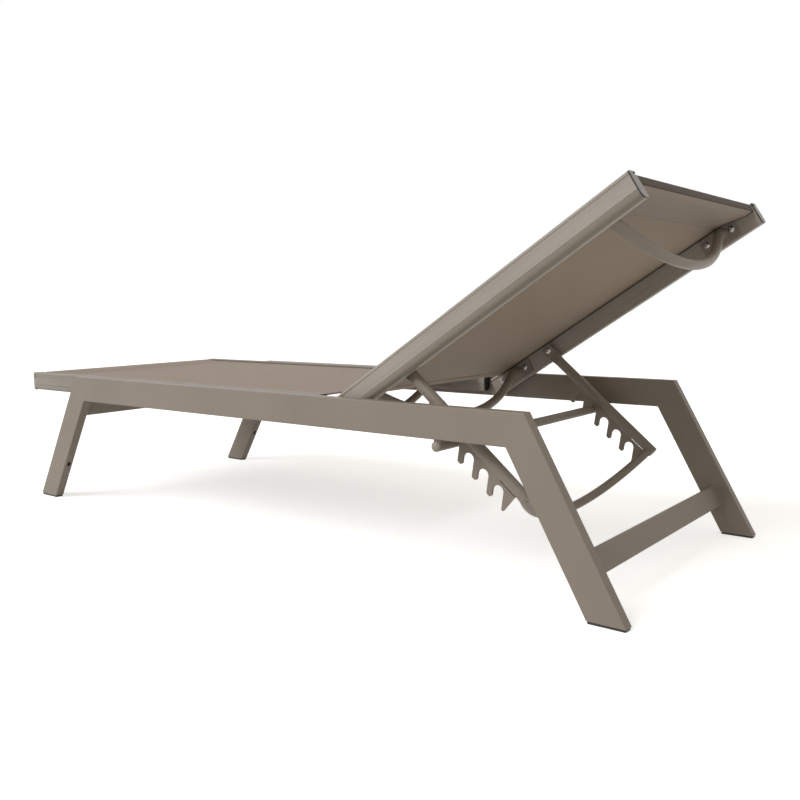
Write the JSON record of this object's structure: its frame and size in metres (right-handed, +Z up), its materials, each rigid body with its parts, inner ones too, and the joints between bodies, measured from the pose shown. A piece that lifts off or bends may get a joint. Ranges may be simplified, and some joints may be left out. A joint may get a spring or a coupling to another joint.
{
  "type": "sun lounger",
  "caption": "Low sling sun lounger on four splayed tube legs, with a tilting backrest held by a swinging prop whose toothed racks hook over a cross bar.",
  "frame": {"origin": "centre of the bounding box in plan, on the floor under the feet", "axes": "+Z up, +X towards the head end, +Y to the right hand of a person lying on it"},
  "size_m": [1.8716, 0.742, 0.7541],
  "materials": {
    "cap_black": "matte moulded plastic",
    "cap_taupe": "matte moulded plastic, frame colour",
    "cloth": "coated mesh cloth",
    "cord_white": "extruded plastic rod",
    "nylon": "moulded nylon",
    "powder_coat": "satin powder coat, warm grey-taupe",
    "stainless": "bright stainless steel",
    "steel_coat": "satin powder coat, warm grey-taupe"
  },
  "bodies": {
    "frame": {"foot_end_bar": "powder_coat", "front_cross_tube": "powder_coat", "front_foot_left": "cap_black", "front_foot_right": "cap_black", "front_leg_left": "powder_coat", "front_leg_right": "powder_coat", "pivot_bolt_left": "stainless", "pivot_bolt_right": "stainless", "rail_inserts_left": "stainless", "rail_inserts_right": "stainless", "rear_cross_tube": "powder_coat", "rear_foot_left": "cap_black", "rear_foot_right": "cap_black", "rear_leg_left": "powder_coat", "rear_leg_right": "powder_coat", "rest_bar": "steel_coat", "rest_bar_plugs": "cap_taupe", "rest_bar_saddles": "steel_coat", "seat_bolts_left": "stainless", "seat_bolts_right": "stainless", "seat_bow_screws": "stainless", "seat_foot_cap_left": "cap_taupe", "seat_foot_cap_right": "cap_taupe", "seat_front_bow": "steel_coat", "seat_head_cap_left": "cap_black", "seat_head_cap_right": "cap_black", "seat_rail_left": "powder_coat", "seat_rail_right": "powder_coat", "seat_rear_bow": "steel_coat", "seat_sling": "cloth", "seat_spacers_left": "nylon", "seat_spacers_right": "nylon", "seat_spline_left": "cord_white", "seat_spline_right": "cord_white", "side_rail_left": "powder_coat", "side_rail_right": "powder_coat"},
    "backrest": {"back_bow_screws": "stainless", "back_head_cap_left": "cap_black", "back_head_cap_right": "cap_black", "back_lower_bow": "steel_coat", "back_rail_left": "powder_coat", "back_rail_right": "powder_coat", "back_sling": "cloth", "back_spline_left": "cord_white", "back_spline_right": "cord_white", "back_tail_cap_left": "cap_black", "back_tail_cap_right": "cap_black", "back_top_bar": "powder_coat", "back_upper_bow": "steel_coat", "pivot_bush_left": "nylon", "pivot_bush_right": "nylon", "prop_screw_left": "stainless", "prop_screw_right": "stainless", "prop_spacer_left": "nylon", "prop_spacer_right": "nylon"},
    "prop": {"prop_cross_bow": "steel_coat", "prop_leg_left": "steel_coat", "prop_leg_right": "steel_coat", "rack_left": "steel_coat", "rack_right": "steel_coat"}
  },
  "joints": [
    {"name": "backrest_recline", "type": "hinge", "parent": "frame", "child": "backrest", "pos_m": [0.27821, 0, 0.335], "axis": [0, -1, 0], "range_deg": [0, 46]},
    {"name": "prop_swing", "type": "hinge", "parent": "backrest", "child": "prop", "pos_m": [0.42392, 0, 0.42168], "axis": [0, -1, 0], "range_deg": [-6, 0]}
  ],
  "couplings": [
    {"joint": "prop_swing", "follows": "backrest_recline", "ratio": -0.13}
  ]
}
